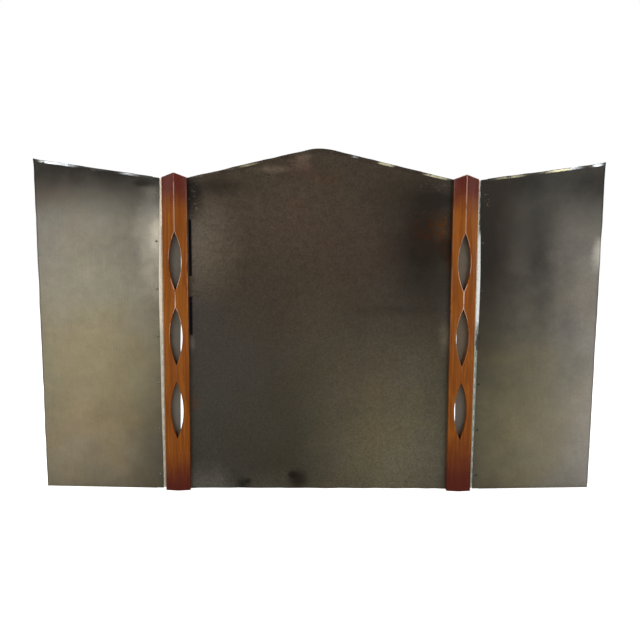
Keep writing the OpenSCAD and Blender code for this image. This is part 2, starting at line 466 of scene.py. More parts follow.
centreTones = {
    "base": 0.062,
    "grit": 1.5,
    "patches": [
        (-0.27, 0.57, 0.12, 0.17, 0.10), (-0.08, 0.62, 0.22, 0.16, 0.022), (0.235, 0.56, 0.15, 0.26, -0.05),
        (0.17, 0.03, 0.26, 0.44, 0.15), (-0.27, 0.0, 0.10, 0.08, 0.11), (0.0, 0.33, 0.12, 0.26, 0.022),
        (0.25, 0.61, 0.12, 0.20, -0.022), (0.18, 0.70, 0.16, 0.10, -0.014),
        (-0.24, 0.70, 0.12, 0.035, -0.05), (-0.290, 0.665, 0.04, 0.07, -0.09),
        (0.275, 0.675, 0.07, 0.03, -0.035), (0.15, 0.425, 0.16, 0.02, -0.015),
        (0.272, 0.608, 0.035, 0.05, 0.022), (-0.11, 0.742, 0.06, 0.012, 0.09),
        (-0.045, 0.757, 0.035, 0.028, 0.08), (0.287, 0.565, 0.02, 0.035, -0.06),
        (-0.178, 0.010, 0.03, 0.028, -0.08), (-0.165, 0.018, 0.012, 0.010, -0.05),
        (-0.048, 0.020, 0.035, 0.038, -0.09), (-0.062, 0.034, 0.014, 0.012, -0.05),
        (-0.294, 0.345, 0.012, 0.03, 0.10), (0.294, 0.365, 0.025, 0.06, 0.10),
        (-0.036, 0.772, 0.026, 0.014, 0.10), (-0.12, -0.015, 0.20, 0.075, 0.05),
    ],
    "brown": [(0.0, 0.70, 0.6, 0.75, 1.25), (0.26, 0.6, 0.12, 0.2, 0.5)],
    "olive": [(0.15, 0.1, 0.6, 0.5, 0.9)],
    "rust": [
        (0.262, 0.604, 0.09, 0.065, 1.6), (0.292, 0.55, 0.015, 0.06, 1.0), (-0.29, 0.205, 0.03, 0.03, 0.7),
        (0.02, 0.715, 0.05, 0.05, 0.3), (-0.055, 0.66, 0.04, 0.04, 0.2),
    ],
    "plum": [(-0.045, 0.74, 0.06, 0.05, 0.9), (-0.05, 0.62, 0.25, 0.1, 0.4), (0.1, 0.55, 0.2, 0.1, 0.5)],
    # painted dark reflections of the left post
    "postReflections": [(-0.2950, 0.5645, 0.0042, 0.0655), (-0.2950, 0.409, 0.0042, 0.046)],
    "scuffs": [
        (-0.288, 0.66, 0.022, 0.07, 0.9), (-0.289, 0.50, 0.008, 0.16, 0.8), (0.288, 0.62, 0.02, 0.05, 0.5),
        (0.26, 0.705, 0.06, 0.018, 0.9), (-0.13, 0.735, 0.08, 0.018, 0.7), (-0.06, 0.755, 0.04, 0.02, 0.6),
    ],
    # shine and cream: where the painted highlight along the hem shows
    "shine": [(0.077, 0.768, 0.012, 0.01, 0.7), (-0.187, 0.735, 0.02, 0.012, 0.3)],
    "cream": [(0.145, 0.75, 0.027, 0.012, 3.0), (-0.15, 0.745, 0.05, 0.014, 1.0),
              (0.25, 0.725, 0.05, 0.012, 1.2)],
    "creaseShade": 0.12,
}
rightWingTones = {
    "base": 0.016,
    "grit": 0.45,
    "patches": [
        (0.465, 0.57, 0.05, 0.17, 0.03), (0.385, 0.60, 0.05, 0.25, -0.022), (0.44, 0.72, 0.12, 0.06, -0.02),
        # the last mark on the next line is a painted highlight, a glow near the outer edge
        (0.640, 0.50, 0.15, 0.28, 0.17), (0.55, 0.62, 0.08, 0.12, 0.04), (0.648, 0.55, 0.03, 0.05, 0.42),
        (0.61, 0.07, 0.42, 0.56, 0.33), (0.645, 0.20, 0.10, 0.3, 0.10), (0.63, 0.70, 0.10, 0.08, -0.04),
    ],
    "scuffs": [(0.377, 0.685, 0.012, 0.04, 0.9)],
    "brown": [(0.38, 0.68, 0.12, 0.5, 0.9), (0.50, 0.4, 0.3, 0.4, 0.15)],
    "olive": [(0.42, 0.15, 0.26, 0.40, 1.1)],
    # shine and cream: where the painted highlight along the hem shows
    "shine": [(0.628, 0.758, 0.022, 0.02, 1.2), (0.575, 0.75, 0.03, 0.02, 0.5)],
    "cream": [(0.54, 0.745, 0.05, 0.02, 0.8), (0.43, 0.728, 0.05, 0.02, 0.35)],
}


def patinatedSteel(name, tones):
    look = steelLook
    finish, shader, coords = startMaterial(name)

    def marks(kind):
        return addPatches(coords, tones.get(kind, ()))

    old = useGroup(patina, Vector=coords, Coarse=5.0, Fine=60.0)
    drawn = useGroup(brushing, Vector=coords, Along=14.0, Across=700.0)
    blotch = centred(old["Blotch"])
    lightness = calc("ADD", marks("patches"), tones["base"])
    grit = centred(cloud(coords, 240.0, 4.0, 0.75))
    uneven = scaleAdd(blotch, look["blotch"], times(centred(old["Mottle"]), look["mottle"]))
    uneven = scaleAdd(grit, tones["grit"], uneven)
    uneven = scaleAdd(centred(drawn["Lines"]), look["lines"], uneven)
    lightness = scaleAdd(calc("MAXIMUM", lightness, look["least"]), uneven, lightness, clamp=True)
    colour = blendColour(lightness, look["dark"], look["light"])
    warmth = scaleAdd(centred(old["Warmth"]), look["warmth"], marks("brown"), clamp=True)
    green = scaleAdd(blotch, look["greening"], marks("olive"), clamp=True)
    colour = blendColour(warmth, colour, look["brown"], "MULTIPLY")
    colour = blendColour(green, colour, look["olive"], "MULTIPLY")
    facing = addNode("SeparateXYZ", addNode("TexCoord")["Normal"])["Y"]
    isFront = fade(facing, -0.4, -0.6)
    if "rust" in tones:
        eaten = fade(cloud(coords, 70.0, 5.0, 0.7), 0.38, 0.6)
        rust = times(times(marks("rust"), eaten), isFront, clamp=True)
        colour = blendColour(rust, colour, look["rust"], "MULTIPLY")
    if "plum" in tones:
        plum = calc("MINIMUM", marks("plum"), 1.0)
        colour = blendColour(plum, colour, look["plum"], "MULTIPLY")
    spot = addNode("SeparateXYZ", coords)
    for x, z, wide, high in tones.get("postReflections", ()):    # painted dark reflection of the post, in runs beside it
        across = fade(away(spot["X"], x), wide, wide - 1.5 * mm)
        along = fade(away(spot["Z"], z), high, high - 3 * mm)
        postReflection = times(times(across, along), isFront)
        colour = blendColour(postReflection, colour, look["pitch"])
    if "scuffs" in tones:    # ragged pale and dark marks
        scuffed = times(marks("scuffs"), isFront, clamp=True)
        rags = cloud(stretch(coords, (120, 120, 260)), 1.0, 6.0, 0.72)
        for low, high, tone in ((0.47, 0.38, "sootAndShade"), (0.575, 0.65, "scuff")):
            rag = times(fade(rags, low, high), scuffed)
            colour = stain(colour, rag, look["scuffing"], look[tone])
    if "creaseShade" in tones:    # painted shade: a faint dark line where the edge of the hem behind shows through
        creaseShade = fade(away(spot["Z"], sheetShape["footHem"]), 2.2 * mm, 0.4 * mm)
        colour = stain(colour, creaseShade, tones["creaseShade"], look["sootAndShade"])
    topGap, sideGap = (addNode("Attribute", attribute_name=gap)["Fac"] for gap in ("rimGap", "sideGap"))
    sootAndShade = useGroup(specks, Vector=coords, Scale=130.0, Cover=0.25)["Mask"]
    colour = stain(colour, sootAndShade, look["sooty"], look["sootAndShade"])
    # painted shade: a dark line along the top and outer edges, where the edge falls into shadow
    outline = calc("MAXIMUM", fade(topGap, 2.4 * mm, 0.4 * mm), fade(sideGap, 5 * mm, 0.5 * mm))
    colour = stain(colour, outline, look["outline"], look["sootAndShade"])
    hemHighlightBand = useGroup(brokenRimBand, Vector=coords, Gap=topGap, Near=1.4 * mm, Far=5.2 * mm,
                    Breakup=80.0, Cover=0.62)["Mask"]
    # painted shade: a broken dark band just below the hem's fold
    under = useGroup(brokenRimBand, Vector=coords, Gap=topGap, Near=5.6 * mm, Far=9 * mm,
                     Breakup=20.0, Cover=0.6)["Mask"]
    colour = stain(colour, under, look["underRimShade"], look["sootAndShade"])
    for kind, tone in (("shine", "hemHighlight"), ("cream", "cream")):    # painted highlight off the hem's fold, in broken runs like wear
        if kind in tones:
            wearAndHighlight = times(hemHighlightBand, marks(kind), clamp=True)
            colour = blendColour(wearAndHighlight, colour, look[tone])
    rough = scaleAdd(old["Mottle"], 0.12, look["roughness"])
    rough = scaleAdd(hemHighlightBand, -0.1, rough)
    height = scaleAdd(old["Mottle"], 0.4, drawn["Lines"])
    height = scaleAdd(drawn["Scratches"], -0.6, height)
    endMaterial(shader, colour, rough, look["metallic"], height, 0.25, 0.12 * mm)
    return finish


sheetShape = {
    "cell": 8 * mm,         # mesh size
    "gauge": 0.8 * mm,
    "clear": 0.03 * mm,     # between the wood and the sheet
    "roll": 0.5 * mm,       # radius of the fold, to the middle of the gauge
    "rollSteps": 4,
    "hem": 8 * mm,
    "footHem": 18 * mm,
    "overhang": 0.9 * mm,   # how far a rolled edge stands beyond its cut line
    "belly": 3.2 * mm,      # how far a panel wanders out of flat
    "wander": 2.0 * mm,     # how far a hand-cut edge wanders
    "footWander": 1.6 * mm,
    "spare": 5 * mm,        # how much taller the blank is before it is cut
    "near": 0.05 * mm,      # how near counts as on the cut
}
centreShape = {
    "slope": math.radians(13.2),
    "shoulder": 722 * mm,
    "shoulderX": 299.5 * mm,
    "peakRadius": 150 * mm,
    "peakFacets": 12,
}
wingShape = {
    "fold": math.radians(3),
    "gap": 3.3 * mm,        # from the pin's axis to the sheet
    "leaf": 18.5 * mm,      # no hem this near to the axis
    "top": 289.3 * mm,      # from the pin's axis to the far edge
    "foot": 282.3 * mm,
    "shoulder": 722 * mm,
    "rise": 40 * mm,
    "leftBow": (5.2, 4.0, 1.6),     # how hollow the hinge edge is at each height, in mm
    "rightBow": (5.2, 2.6, 0.4),
    "bowHeights": (480 * mm, 240 * mm, 0.0),
    "bowReach": 240 * mm,
    "cornerPull": (0.6 * mm, 1.6 * mm),    # the upper corner is drawn out and up
    "cornerReach": 14 * mm,
}


def layGrid(name, low, high, y, cell):
    wide, tall = high[0] - low[0], high[1] - low[1]
    bpy.ops.mesh.primitive_grid_add(
        x_subdivisions=max(2, round(wide / cell)), y_subdivisions=max(2, round(tall / cell)), size=1,
        location=((low[0] + high[0]) / 2, y, (low[1] + high[1]) / 2), rotation=(math.radians(90), 0, 0))
    bpy.context.active_object.scale = (wide, tall, 1)
    return nameNew(name)


def bendHem(piece, onRim, outward, width, squeeze=None, about=None):
    pick(piece, "EDGE", lambda edge: edge.is_boundary and all(onRim(end.co) for end in edge.verts))
    radius, steps = sheetShape["roll"], sheetShape["rollSteps"]
    done = Vector()
    for step in range(1, steps + 1):
        turn = math.pi * step / steps
        here = outward * radius * math.sin(turn) + Vector((0, radius * (1 - math.cos(turn)), 0))
        bpy.ops.mesh.extrude_edges_move(TRANSFORM_OT_translate={"value": here - done})
        done = here
    bpy.ops.mesh.extrude_edges_move(TRANSFORM_OT_translate={"value": -outward * width})
    if squeeze:
        bpy.ops.transform.resize(value=squeeze, center_override=about)


def warp(piece, name, group, axis, scale, amount, middle=0.5):    # a slow wander out of true
    texture = bpy.data.textures.new(name, "CLOUDS")
    texture.noise_scale = scale
    texture.noise_depth = 1
    finishWith(piece, "DISPLACE", texture=texture, texture_coords="LOCAL", direction=axis,
               vertex_group=group, strength=amount, mid_level=middle)


def nudge(piece, spot, shift, reach):    # draws the mesh near a spot along with it
    openUp(piece)
    spot = Vector(spot)
    closest = min(piece.data.vertices, key=lambda vertex: (vertex.co - spot).length).index
    pick(piece, "VERT", lambda vertex: vertex.index == closest)
    bpy.ops.transform.translate(value=shift, use_proportional_edit=True, proportional_size=reach,
                                proportional_edit_falloff="SMOOTH")
    closeUp()


def foldBy(side):    # a wing stands folded back by a little at rest
    axis = axes[side + "_wing"]
    turn = Matrix.Rotation(sides[side] * wingShape["fold"], 4, "Z")
    return Matrix.Translation(axis) @ turn @ Matrix.Translation(-axis)


def sheetY():    # middle of the gauge
    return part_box("centre_sheet")[0].y + sheetShape["clear"] + sheetShape["gauge"] / 2


def topOfCentre(x):
    slope, radius = centreShape["slope"], centreShape["peakRadius"]
    apex = centreShape["shoulder"] + centreShape["shoulderX"] * math.tan(slope)
    if abs(x) < radius * math.sin(slope):
        return apex - radius / math.cos(slope) + math.sqrt(radius ** 2 - x ** 2)
    return apex - abs(x) * math.tan(slope)


def makeCentreSheet():
    node = "centre_sheet"
    low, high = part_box(node)
    slope, radius, over = centreShape["slope"], centreShape["peakRadius"], sheetShape["overhang"]
    foot = low.z + over
    piece = layGrid("centreSheet", (low.x, foot), (high.x, high.z + sheetShape["spare"]),
                    sheetY(), sheetShape["cell"])
    openUp(piece)
    centre = Vector((0, 0, topOfCentre(0) - radius))
    steps = centreShape["peakFacets"]
    for step in range(steps + 1):    # the slopes are the first and the last tangent of the peak's arc
        turn = slope * (2 * step / steps - 1)
        outward = Vector((math.sin(turn), 0, math.cos(turn)))
        trim(centre + outward * (radius - over), outward)
    bendHem(piece, lambda co: co.z > topOfCentre(co.x) - over - 0.4 * mm, Vector((0, 0, 1)),
            sheetShape["hem"] / math.cos(slope))
    bendHem(piece, lambda co: co.z < foot + 0.01 * mm, Vector((0, 0, -1)), sheetShape["footHem"])
    closeUp()
    finishWith(piece, "SOLIDIFY", thickness=sheetShape["gauge"], offset=0)
    half = centreShape["shoulderX"]
    gapAt = lambda co: (topOfCentre(co.x) - co.z) * math.cos(slope)
    weigh(piece, "belly", lambda co: ease(half - abs(co.x), 0, 0.08)
          * ease(gapAt(co), 0.006, 0.09) * ease(co.z, 0.01, 0.09))
    weigh(piece, "crest", lambda co: ease(gapAt(co), 0.03, 0) * ease(half - abs(co.x), 0, 0.03))
    weigh(piece, "foot", lambda co: ease(co.z, 0.03, 0) * ease(half - abs(co.x), 0, 0.03))
    warp(piece, "centreBelly", "belly", "Y", 0.28, sheetShape["belly"])
    measure(piece, "rimGap", gapAt)
    measure(piece, "sideGap", lambda co: 1.0)
    warp(piece, "centreCrest", "crest", "Z", 0.03, sheetShape["wander"])
    warp(piece, "centreFoot", "foot", "Z", 0.04, sheetShape["footWander"], 0.0)
    smoothOver(piece, 40)
    dress(piece, patinatedSteel("centreSteel", centreTones))
    place(piece, "stand", node)


def makeWingSheet(side):
    node, body = side + "_wing_sheet", side + "_wing"
    way, axis = sides[side], axes[body]
    shape, over = wingShape, sheetShape["overhang"]
    y = sheetY()
    peak = shape["shoulder"] + shape["rise"]
    innerX = axis.x + way * shape["gap"]
    outerX = axis.x + way * shape["top"]
    wide = abs(outerX - innerX)
    leafX = axis.x + way * shape["leaf"]
    edges = sorted((innerX, outerX))
    piece = layGrid(side + "WingSheet", (edges[0], over), (edges[1], peak + sheetShape["spare"]),
                    y, sheetShape["cell"])
    upward = Vector((-way * shape["rise"], 0, wide)).normalized()
    outward = Vector((way * peak, 0, shape["foot"] - shape["top"])).normalized()
    topGap = lambda co: (Vector((innerX, 0, shape["shoulder"])) - Vector((co.x, 0, co.z))).dot(upward)
    outerGap = lambda co: (Vector((outerX, 0, peak)) - Vector((co.x, 0, co.z))).dot(outward)
    near = sheetShape["near"]
    isRaw = lambda co, gap: abs(gap) < near and abs(co.y - y) < near
    openUp(piece)
    trim(Vector((innerX, 0, shape["shoulder"])) - upward * over, upward)
    trim(Vector((outerX, 0, peak)) - outward * over, outward)
    trim((leafX, 0, 0), (1, 0, 0), keep=True)
    hem, footHem = sheetShape["hem"], sheetShape["footHem"]
    pastLeaf = lambda co: abs(co.x - axis.x) > shape["leaf"] - near
    mitre = 1 - hem / abs(outerX - leafX)
    bendHem(piece, lambda co: isRaw(co, topGap(co) - over) and pastLeaf(co),
            Vector((0, 0, 1)), hem / upward.z, (mitre, 1, 1), (leafX, y, peak))
    bendHem(piece, lambda co: isRaw(co, co.z - over) and pastLeaf(co),
            Vector((0, 0, -1)), footHem, (mitre, 1, 1), (leafX, y, 0))
    bendHem(piece, lambda co: isRaw(co, outerGap(co) - over), Vector((way, 0, 0)), hem,
            (1, 1, 1 - (hem + footHem) / peak), (outerX, y, peak * footHem / (hem + footHem)))
    closeUp()
    finishWith(piece, "SOLIDIFY", thickness=sheetShape["gauge"], offset=0)
    weigh(piece, "belly", lambda co: ease(abs(co.x - axis.x), 0.02, 0.09) * ease(topGap(co), 0.006, 0.09)
          * ease(outerGap(co), 0.006, 0.08) * ease(co.z, 0.01, 0.09))
    weigh(piece, "outer", lambda co: ease(outerGap(co), 0.045, 0))
    weigh(piece, "crest", lambda co: ease(topGap(co), 0.03, 0) * ease(abs(co.x - axis.x), 0.02, 0.05))
    warp(piece, side + "Belly", "belly", "Y", 0.24, sheetShape["belly"])
    measure(piece, "rimGap", topGap)
    measure(piece, "sideGap", outerGap)
    warp(piece, side + "Outer", "outer", "X", 0.05, sheetShape["wander"])
    warp(piece, side + "Crest", "crest", "Z", 0.03, sheetShape["wander"])
    for z, amount in zip(shape["bowHeights"], shape[side + "Bow"]):
        nudge(piece, (innerX, y, z), (way * amount * mm, 0, 0), shape["bowReach"])
    pullOut, pullUp = shape["cornerPull"]
    nudge(piece, (outerX, y, peak), (way * pullOut, 0, pullUp), shape["cornerReach"])
    smoothOver(piece, 40)
    moveBy(piece, foldBy(side))
    tones = leftWingTones if side == "left" else rightWingTones
    dress(piece, patinatedSteel(side + "WingSteel", tones))
    place(piece, body, node)


makeCentreSheet()
for side in sides:
    makeWingSheet(side)
print("sheets are cut and hemmed")


# wooden posts

postShape = {
    "ridge": 327.5 * mm,
    "fall": 5 * mm,        # how much thinner a batten's side is than its ridge
    "gable": 10.5 * mm,
    "lensHeights": (191 * mm, 363 * mm, 535 * mm),
    "lensLength": 134 * mm,
    "lensWidth": 29 * mm,
    "lensFacets": 240,
    "arris": 1.0 * mm,
}
woodLook = {
    "deep": (0.120, 0.030, 0.004),
    "mid": (0.190, 0.052, 0.005),
    "bright": (0.260, 0.083, 0.009),
    "burgundy": (0.072, 0.010, 0.007),
    "pore": (0.05, 0.012, 0.003),
    # painted highlight colour of the rubbed arrises
    "arris": (0.70, 0.46, 0.36),
    "crown": (0.63, 0.71),     # heights between which the darker ends begin
    "leftFoot": (0.10, 0.015),    # the same at the foot, downwards
    "rightFoot": (0.17, 0.015),
    "roughness": 0.36,
    "lacquer": 0.04,
    "lacquerRoughness": 0.16,
    "specular": 0.08,
    "darkEnds": 0.92,
    "pores": 0.35,
}


def lacqueredWood(name, side, arris):
    look = woodLook
    finish, shader, coords = startMaterial(name)
    grain = useGroup(woodGrain, Vector=coords, Figure=26.0, Pores=420.0)
    tone = scaleAdd(grain["Fibre"], 0.45, times(grain["Figure"], 0.45))
    colour = blendColour(fade(tone, -0.3, 0.5), look["deep"], look["mid"])
    colour = blendColour(fade(tone, 0.3, 1.1), colour, look["bright"])
    spot = addNode("SeparateXYZ", coords)
    uneven = scaleAdd(centred(cloud(coords, 30.0, 3.0)), 0.05, spot["Z"])
    foot = fade(uneven, *look[side + "Foot"])
    crown = fade(uneven, *look["crown"])
    colour = stain(colour, calc("MAXIMUM", foot, crown), look["darkEnds"], look["burgundy"])
    colour = stain(colour, grain["Pores"], look["pores"], look["pore"])
    rough = scaleAdd(grain["Fibre"], 0.14, look["roughness"])
    if arris:    # painted highlight along the edges, strongest down the ridge and between the upper cutouts, broken up where the lacquer is thin and rubbed
        wearAndHighlight = fade(cloud(coords, 26.0, 5.0, 0.65), 0.36, 0.56)
        middle = useGroup(softPatch, Vector=coords, Centre=(0, 0, 0.45), Spread=(0, 0, 10),
                          Raggedness=0.1)["Mask"]
        upper = fade(spot["Z"], 0.22, 0.48, 0.02, 0.5)
        amount = times(wearAndHighlight, scaleAdd(middle, 0.6, upper), clamp=True)
        reach = away(calc("ABSOLUTE", spot["X"]), postShape["ridge"])
        amount = times(amount, fade(reach, 18 * mm, 26 * mm, 1.0, 0.35))
        colour = blendColour(amount, colour, look["arris"])
        rough = scaleAdd(amount, 0.2, rough)
    shader.inputs["Coat Weight"].default_value = look["lacquer"]
    shader.inputs["Coat Roughness"].default_value = look["lacquerRoughness"]
    shader.inputs["Specular IOR Level"].default_value = look["specular"]
    relief = scaleAdd(grain["Pores"], -1.0, grain["Fibre"])
    endMaterial(shader, colour, rough, 0.0, relief, 0.3, 0.15 * mm)
    return finish


def makeBatten(side, part, finishes):
    node = side + "_" + part + "_batten"
    low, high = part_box(node)
    nearer, farther = sorted((low.x, high.x), key=abs)
    ridge, edge = (nearer, farther) if part == "outer" else (farther, nearer)
    way = math.copysign(1, edge - ridge)    # from the post's ridge to this batten's side
    size = high - low
    piece = sawBlock(side + part.title() + "Batten", low, high)
    openUp(piece)
    trim((ridge, low.y, 0), (way * postShape["fall"], -size.x, 0), fill=True)
    trim((ridge, 0, high.z), (way * postShape["gable"], 0, size.x), fill=True)
    closeUp()
    half = postShape["lensWidth"] / 2
    radius = ((postShape["lensLength"] / 2) ** 2 + half ** 2) / (2 * half)
    for z in postShape["lensHeights"]:
        bpy.ops.mesh.primitive_cylinder_add(
            vertices=postShape["lensFacets"], radius=radius, depth=4 * size.y,
            location=(ridge + way * (half - radius), (low.y + high.y) / 2, z),
            rotation=(math.radians(90), 0, 0))
        cutAway(piece, nameNew("scallopCutter"))
    dress(piece, *finishes)
    softenEdges(piece, postShape["arris"], 2, 30, use_clamp_overlap=False, material=1)
    smoothOver(piece, 28)
    place(piece, "stand", node)


woodFinishes = {}
for side in sides:
    woodFinishes[side] = (lacqueredWood(side + "PostWood", side, False),
                          lacqueredWood(side + "PostArrisHighlight", side, True))
    for part in ("outer", "inner"):
        makeBatten(side, part, woodFinishes[side])
print("battens are scalloped")


# backing strips

stripShape = {
    "top": 42 * mm,
    "leftFoot": 31 * mm,
    "rightFoot": 36.2 * mm,
    "cell": 6 * mm,
    "gauge": 0.8 * mm,
    "wander": 1.2 * mm,
}
stripTones = {
    "base": 0.18,
    "grit": 0.3,
    "patches": [(-0.33, 0.36, 0.1, 0.16, 0.02), (-0.33, 0.19, 0.1, 0.12, 0.06), (0.33, 0.25, 0.1, 0.3, 0.03)],
    "brown": [(0.33, 0.4, 0.2, 0.5, 0.8), (-0.33, 0.4, 0.2, 0.5, 0.3)],
}


def makeBackingStrip(side, finish):
    node = side + "_backing_strip"
    low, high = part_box(node)
    way = sides[side]
    outer = low.x if side == "left" else high.x
    y = low.y + sheetShape["clear"] + stripShape["gauge"] / 2
    piece = layGrid(side + "BackingStrip", (low.x, low.z), (high.x, high.z), y, stripShape["cell"])
    taper = stripShape["top"] - stripShape[side + "Foot"]
    openUp(piece)
    trim((outer - way * stripShape["top"], 0, high.z), (-way * high.z, 0, -taper))
    closeUp()
    weigh(piece, "edge", lambda co: ease(abs(co.x - outer), 0.02, 0.03))
    warp(piece, side + "Strip", "edge", "X", 0.06, stripShape["wander"])
    measure(piece, "rimGap", lambda co: 1.0)
    measure(piece, "sideGap", lambda co: 1.0)
    finishWith(piece, "SOLIDIFY", thickness=stripShape["gauge"], offset=0)
    smoothOver(piece, 30)
    dress(piece, finish)
    place(piece, "stand", node)


stripSteel = patinatedSteel("stripSteel", stripTones)
for side in sides:
    makeBackingStrip(side, stripSteel)
print("backing strips are in")


# hinges

hingeShape = {
    "leafGauge": 0.9 * mm,
    "leafReach": 17 * mm,
    "plateStart": 2.8 * mm,
    "barrel": 3.0 * mm,
    "barrelWall": 1.2 * mm,
    "facets": 22,
    "knuckles": 57,
    "play": 0.2 * mm,
    "postSide": 355.5 * mm,
    "soften": 0.3 * mm,
}
hingeTones = {
    "tan": (0.34, 0.22, 0.12),
    "cream": (0.56, 0.52, 0.42),
    "white": (0.94, 0.98, 0.97),
    "warmWhite": (0.88, 0.79, 0.62),
    "greySteel": (0.24, 0.225, 0.19),
    "dull": (0.36, 0.34, 0.29),
    "darkSteel": (0.10, 0.095, 0.075),
    # this dark tone is real tarnish in the pits, and painted shade on the right hinge plate
    "tarnishAndShade": (0.030, 0.030, 0.032),
    "verdigris": (0.25, 0.30, 0.24),
    "paleGreen": (0.62, 0.60, 0.46),
    "beige": (0.52, 0.45, 0.34),
    "rose": (0.50, 0.34, 0.28),
}
hingeLook = {    # marks: height, half height, tone, amount
    "left": {
        "barrel": "tan",
        # painted highlight: the warmWhite bands on the barrel and the plate
        "barrelMarks": [(0.70, 0.10, "warmWhite", 0.9), (0.03, 0.06, "rose", 0.5)],
        "plate": "paleGreen",
        "plateMarks": [(0.58, 0.22, "warmWhite", 0.95), (0.05, 0.14, "rose", 0.25)],
        "stained": "greySteel",    # as the wing's sheet is
        "narrow": (6.0 * mm, 9.0 * mm),    # clean width at the top and at the foot
    },
    "right": {
        "barrel": "beige",
        "barrelMarks": [(0.70, 0.05, "rose", 0.3), (0.20, 0.22, "verdigris", 0.5)],
        "plate": "verdigris",
        # painted shade in the upper tarnish band, painted highlight in the white band
        "plateMarks": [(0.665, 0.07, "tarnishAndShade", 0.85), (0.495, 0.115, "white", 1.0),
                       (0.35, 0.022, "tarnishAndShade", 0.9)],
        "stained": "darkSteel",
        "narrow": (6.3 * mm, 7.5 * mm),
    },
}


def wornNickel(name, look):
    finish, shader, coords = startMaterial(name)
    old = useGroup(patina, Vector=coords, Coarse=22.0, Fine=190.0)
    drawn = useGroup(brushing, Vector=coords, Along=40.0, Across=900.0)
    pits = useGroup(specks, Vector=coords, Scale=420.0, Cover=0.6)["Mask"]
    spot = addNode("SeparateXYZ", coords)
    z = scaleAdd(centred(old["Mottle"]), 8 * mm, spot["Z"])

    def banded(part, paleness):
        colour = stain(hingeTones[look[part]], old["Blotch"], paleness, hingeTones["cream"])
        for middle, half, tone, amount in look[part + "Marks"]:
            band = fade(away(z, middle), half, half * 0.8)
            colour = stain(colour, band, amount, hingeTones[tone])
        return colour

    reach = calc("ABSOLUTE", spot["X"])
    pin, postSide = axes["right_wing"].x, hingeShape["postSide"]
    isPlate = fade(reach, pin + 1.3 * mm, pin + 2.0 * mm)
    colour = blendColour(isPlate, banded("barrel", 0.6), banded("plate", 0.3))
    hidden = fade(reach, postSide + 1 * mm, postSide)
    colour = blendColour(hidden, colour, hingeTones["dull"])
    colour = stain(colour, pits, 0.6, hingeTones["tarnishAndShade"])
    narrowTop, narrowFoot = look["narrow"]
    full = 14 * mm
    bright = calc("MINIMUM", fade(z, 0.70, 0.57, narrowTop, full),
                  fade(z, 0.0, 0.36, narrowFoot, full))    # how wide the clean part of the plate is
    past = minus(minus(reach, postSide), bright)
    colour = blendColour(fade(past, -0.3 * mm, 0.3 * mm), colour, hingeTones[look["stained"]])
    rough = scaleAdd(old["Mottle"], 0.25, 0.24)
    height = scaleAdd(pits, -1.0, drawn["Lines"])
    endMaterial(shader, colour, rough, 0.1, height, 0.35, 0.1 * mm)
    return finish


def makeKnuckle(axis, way, length):    # one rolled eye with its tab, at the foot of the hinge
    front = axis.y - hingeShape["barrel"]
    bpy.ops.mesh.primitive_cylinder_add(
        vertices=hingeShape["facets"], radius=hingeShape["barrel"], depth=length, end_fill_type="NOTHING",
        location=(axis.x, axis.y, length / 2))
    eye = nameNew("eye")
    finishWith(eye, "SOLIDIFY", thickness=hingeShape["barrelWall"], offset=-1)
    softenEdges(eye, hingeShape["soften"], 2, 50)
    reach = hingeShape["plateStart"] + 0.5 * mm
    tab = sawBlock("tab", (axis.x + way * 1 * mm, front, 0),
                   (axis.x + way * reach, front + hingeShape["leafGauge"], length))
    softenEdges(tab, 0.15 * mm, 1, 30)
    return joinAll("knuckle", [eye, tab])


def makeLeaf(side, member, finish):
    body = "stand" if member == "post" else side + "_wing"
    axis = axes[side + "_wing"]
    way = sides[side] * (1 if member == "wing" else -1)
    foot, top = (corner.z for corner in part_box(side + "_hinge_pin"))
    pitch = (top - foot) / hingeShape["knuckles"]
    front = axis.y - hingeShape["barrel"]
    plate = sawBlock("plate", (axis.x + way * hingeShape["plateStart"], front, foot),
                     (axis.x + way * hingeShape["leafReach"], front + hingeShape["leafGauge"], top))
    openUp(plate)
    for index in range(1, hingeShape["knuckles"]):
        trim((0, 0, foot + index * pitch), (0, 0, 1), keep=True)
    closeUp()
    softenEdges(plate, 0.2 * mm, 2, 50)
    knuckle = makeKnuckle(axis, way, pitch - hingeShape["play"])
    parts = [plate]
    for index in range(0 if member == "post" else 1, hingeShape["knuckles"], 2):
        shift = Vector((0, 0, foot + index * pitch + hingeShape["play"] / 2))
        parts.append(copyOf(knuckle, "knuckle" + str(index), Matrix.Translation(shift)))
    bpy.data.objects.remove(knuckle)
    leaf = joinAll(side + member.title() + "Leaf", parts)
    if member == "wing":
        moveBy(leaf, foldBy(side))
    smoothOver(leaf, 40)
    dress(leaf, finish)
    place(leaf, body, side + "_hinge_" + member + "_leaf")


for side in sides:
    nickel = wornNickel(side + "HingeNickel", hingeLook[side])
    for member in ("post", "wing"):
        makeLeaf(side, member, nickel)
print("hinges are rolled")


# fasteners

fastenerShape = {
    "headRadius": 3.4 * mm,
    "headHeight": 1.4 * mm,
    "slot": 0.8 * mm,
    "shankRadius": 1.5 * mm,
    "shankLength": 12 * mm,
    "pointLength": 3 * mm,
    "rivetRadius": 2.8 * mm,
    "rivetHeight": 0.9 * mm,
    "rivetInset": 12 * mm,     # from the pin's axis
    "tailRadius": 2.4 * mm,
    "tailHeight": 0.8 * mm,
    "grip": 1.9 * mm,
    "brim": 0.2 * mm,
    "facets": 24,
    "count": 7,
}
rustSpots = (0.09, 0.035, 0.018)


